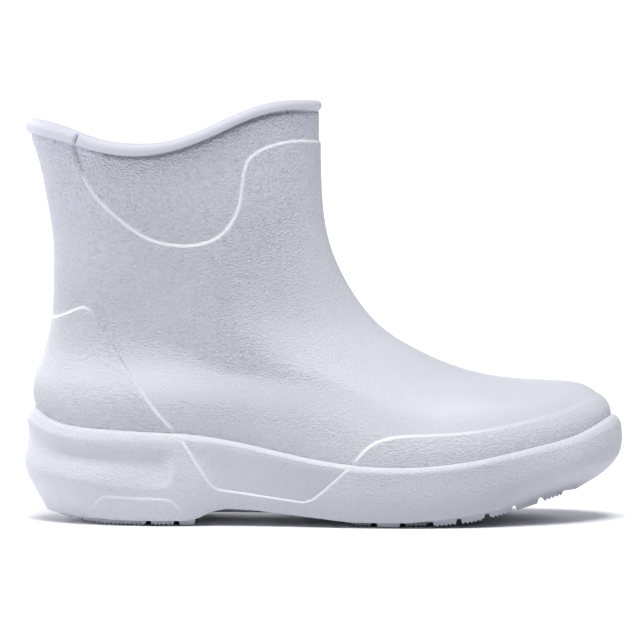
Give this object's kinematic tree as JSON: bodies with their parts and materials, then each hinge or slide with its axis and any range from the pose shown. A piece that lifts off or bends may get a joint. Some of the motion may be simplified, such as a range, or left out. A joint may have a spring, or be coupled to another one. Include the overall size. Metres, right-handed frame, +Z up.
{
  "type": "ankle boot",
  "caption": "Moulded white EVA ankle boot for wet work, with a rolled collar, a hollow upper, a cup sole and ribbed rubber treads; stands empty on its sole.",
  "frame": {"origin": "on the floor, under the middle of the boot's bounding box", "axes": "+X towards the toe, +Z up, -Y the outer side of this right boot"},
  "size_m": [0.2918, 0.1066, 0.2041],
  "materials": {
    "white_eva": "moulded foam with a fine grain, satin",
    "insole_foam": "matt foam sheet",
    "grey_rubber": "matt moulded rubber"
  },
  "bodies": {
    "root": {"upper": "white_eva", "midsole": "white_eva", "insole": "insole_foam", "outsole_heel": "grey_rubber", "outsole_forefoot": "grey_rubber"}
  },
  "joints": []
}
